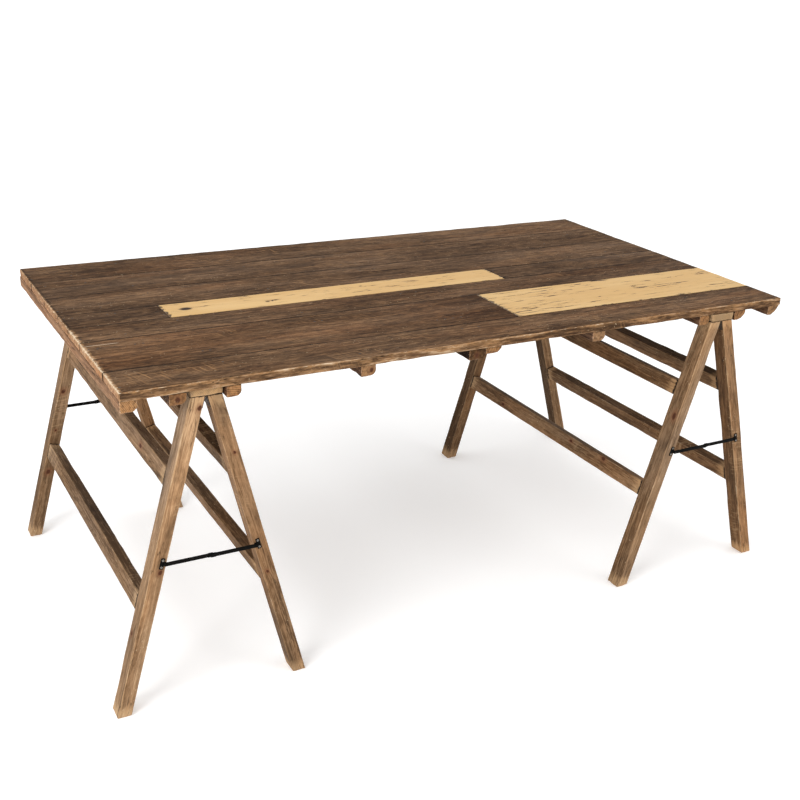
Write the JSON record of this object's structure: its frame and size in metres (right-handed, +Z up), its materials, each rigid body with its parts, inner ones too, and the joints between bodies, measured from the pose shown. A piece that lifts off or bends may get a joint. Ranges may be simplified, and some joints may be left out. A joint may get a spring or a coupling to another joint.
{
  "type": "trestle table",
  "caption": "Trestle table: a loose plank top with painted boards and cross battens, on folding A-frame wooden trestles with ladder frames, hinges and black folding metal stays.",
  "frame": {"origin": "on the floor, under the middle of the table", "axes": "+X along the table's length, +Y across it to the far side, +Z up"},
  "size_m": [1.87, 1.0022, 0.78],
  "materials": {
    "dark_wood": "worn, waxed",
    "ochre_paint": "flaked paint on wood",
    "batten_wood": "rough sawn",
    "trestle_wood": "worn, oiled",
    "black_iron": "satin black",
    "hinge_steel": "dark, aged",
    "screw_steel": "bright head",
    "nail_steel": "dull, rusted"
  },
  "bodies": {
    "table_top": {"left_end_batten": "batten_wood", "right_end_batten": "batten_wood", "left_outer_flank_batten": "batten_wood", "left_inner_flank_batten": "batten_wood", "right_outer_flank_batten": "batten_wood", "right_inner_flank_batten": "batten_wood", "mid_left_batten": "batten_wood", "middle_batten": "batten_wood", "mid_right_batten": "batten_wood", "middle_cleat": "batten_wood", "front_plank": "dark_wood", "front_wide_plank": "dark_wood", "painted_wide_plank": "ochre_paint", "middle_plank": "dark_wood", "short_left_plank": "dark_wood", "painted_narrow_plank": "ochre_paint", "long_right_plank": "dark_wood", "back_inner_plank": "dark_wood", "back_centre_plank": "dark_wood", "back_edge_plank": "dark_wood", "plank_nails": "nail_steel"},
    "left_trestle": {"left_cap_board": "trestle_wood", "left_outer_near_leg": "trestle_wood", "left_outer_far_leg": "trestle_wood", "left_outer_lower_rail": "trestle_wood", "left_outer_upper_rail": "trestle_wood", "left_outer_hinge_leaves_and_pins": "hinge_steel", "left_outer_stay_brackets": "black_iron", "left_outer_screws": "screw_steel"},
    "left_inner_frame": {"left_inner_near_leg": "trestle_wood", "left_inner_far_leg": "trestle_wood", "left_inner_lower_rail": "trestle_wood", "left_inner_upper_rail": "trestle_wood", "left_inner_hinge_leaves": "hinge_steel", "left_inner_stay_brackets": "black_iron", "left_inner_screws": "screw_steel"},
    "left_near_outer_arm": {"left_near_outer_stay_arm": "black_iron"},
    "left_near_inner_arm": {"left_near_inner_stay_arm": "black_iron"},
    "left_far_outer_arm": {"left_far_outer_stay_arm": "black_iron"},
    "left_far_inner_arm": {"left_far_inner_stay_arm": "black_iron"},
    "right_trestle": {"right_cap_board": "trestle_wood", "right_outer_near_leg": "trestle_wood", "right_outer_far_leg": "trestle_wood", "right_outer_lower_rail": "trestle_wood", "right_outer_upper_rail": "trestle_wood", "right_outer_hinge_leaves_and_pins": "hinge_steel", "right_outer_stay_brackets": "black_iron", "right_outer_screws": "screw_steel"},
    "right_inner_frame": {"right_inner_near_leg": "trestle_wood", "right_inner_far_leg": "trestle_wood", "right_inner_lower_rail": "trestle_wood", "right_inner_upper_rail": "trestle_wood", "right_inner_hinge_leaves": "hinge_steel", "right_inner_stay_brackets": "black_iron", "right_inner_screws": "screw_steel"},
    "right_near_outer_arm": {"right_near_outer_stay_arm": "black_iron"},
    "right_near_inner_arm": {"right_near_inner_stay_arm": "black_iron"},
    "right_far_outer_arm": {"right_far_outer_stay_arm": "black_iron"},
    "right_far_inner_arm": {"right_far_inner_stay_arm": "black_iron"}
  },
  "joints": [
    {"name": "left_trestle_drop", "type": "slide", "parent": "table_top", "child": "left_trestle", "axis": [0, 0, -1], "range_m": [0, 0.08]},
    {"name": "left_fold", "type": "hinge", "parent": "left_trestle", "child": "left_inner_frame", "pos_m": [-0.707, 0.009, 0.7382], "axis": [0, 1, 0], "range_deg": [0, 29.15]},
    {"name": "left_near_outer_stay", "type": "hinge", "parent": "left_trestle", "child": "left_near_outer_arm", "pos_m": [-0.81081, -0.475, 0.36636], "axis": [0, -1, 0], "range_deg": [0, 71.62]},
    {"name": "left_near_inner_stay", "type": "hinge", "parent": "left_inner_frame", "child": "left_near_inner_arm", "pos_m": [-0.60319, -0.475, 0.36636], "axis": [0, 1, 0], "range_deg": [0, 71.62]},
    {"name": "left_far_outer_stay", "type": "hinge", "parent": "left_trestle", "child": "left_far_outer_arm", "pos_m": [-0.81081, 0.493, 0.36636], "axis": [0, -1, 0], "range_deg": [0, 71.62]},
    {"name": "left_far_inner_stay", "type": "hinge", "parent": "left_inner_frame", "child": "left_far_inner_arm", "pos_m": [-0.60319, 0.493, 0.36636], "axis": [0, 1, 0], "range_deg": [0, 71.62]},
    {"name": "right_trestle_drop", "type": "slide", "parent": "table_top", "child": "right_trestle", "axis": [0, 0, -1], "range_m": [0, 0.08]},
    {"name": "right_fold", "type": "hinge", "parent": "right_trestle", "child": "right_inner_frame", "pos_m": [0.6895, -0.009, 0.7382], "axis": [0, -1, 0], "range_deg": [0, 31.65]},
    {"name": "right_near_outer_stay", "type": "hinge", "parent": "right_trestle", "child": "right_near_outer_arm", "pos_m": [0.79649, -0.493, 0.38603], "axis": [0, 1, 0], "range_deg": [0, 70.48]},
    {"name": "right_near_inner_stay", "type": "hinge", "parent": "right_inner_frame", "child": "right_near_inner_arm", "pos_m": [0.58251, -0.493, 0.38603], "axis": [0, -1, 0], "range_deg": [0, 70.48]},
    {"name": "right_far_outer_stay", "type": "hinge", "parent": "right_trestle", "child": "right_far_outer_arm", "pos_m": [0.79649, 0.475, 0.38603], "axis": [0, 1, 0], "range_deg": [0, 70.48]},
    {"name": "right_far_inner_stay", "type": "hinge", "parent": "right_inner_frame", "child": "right_far_inner_arm", "pos_m": [0.58251, 0.475, 0.38603], "axis": [0, -1, 0], "range_deg": [0, 70.48]}
  ],
  "couplings": [
    {"joint": "left_near_outer_stay", "follows": "left_fold", "ratio": 2.4568},
    {"joint": "left_near_inner_stay", "follows": "left_fold", "ratio": 2.4568},
    {"joint": "left_far_outer_stay", "follows": "left_fold", "ratio": 2.4568},
    {"joint": "left_far_inner_stay", "follows": "left_fold", "ratio": 2.4568},
    {"joint": "right_near_outer_stay", "follows": "right_fold", "ratio": 2.2269},
    {"joint": "right_near_inner_stay", "follows": "right_fold", "ratio": 2.2269},
    {"joint": "right_far_outer_stay", "follows": "right_fold", "ratio": 2.2269},
    {"joint": "right_far_inner_stay", "follows": "right_fold", "ratio": 2.2269}
  ]
}
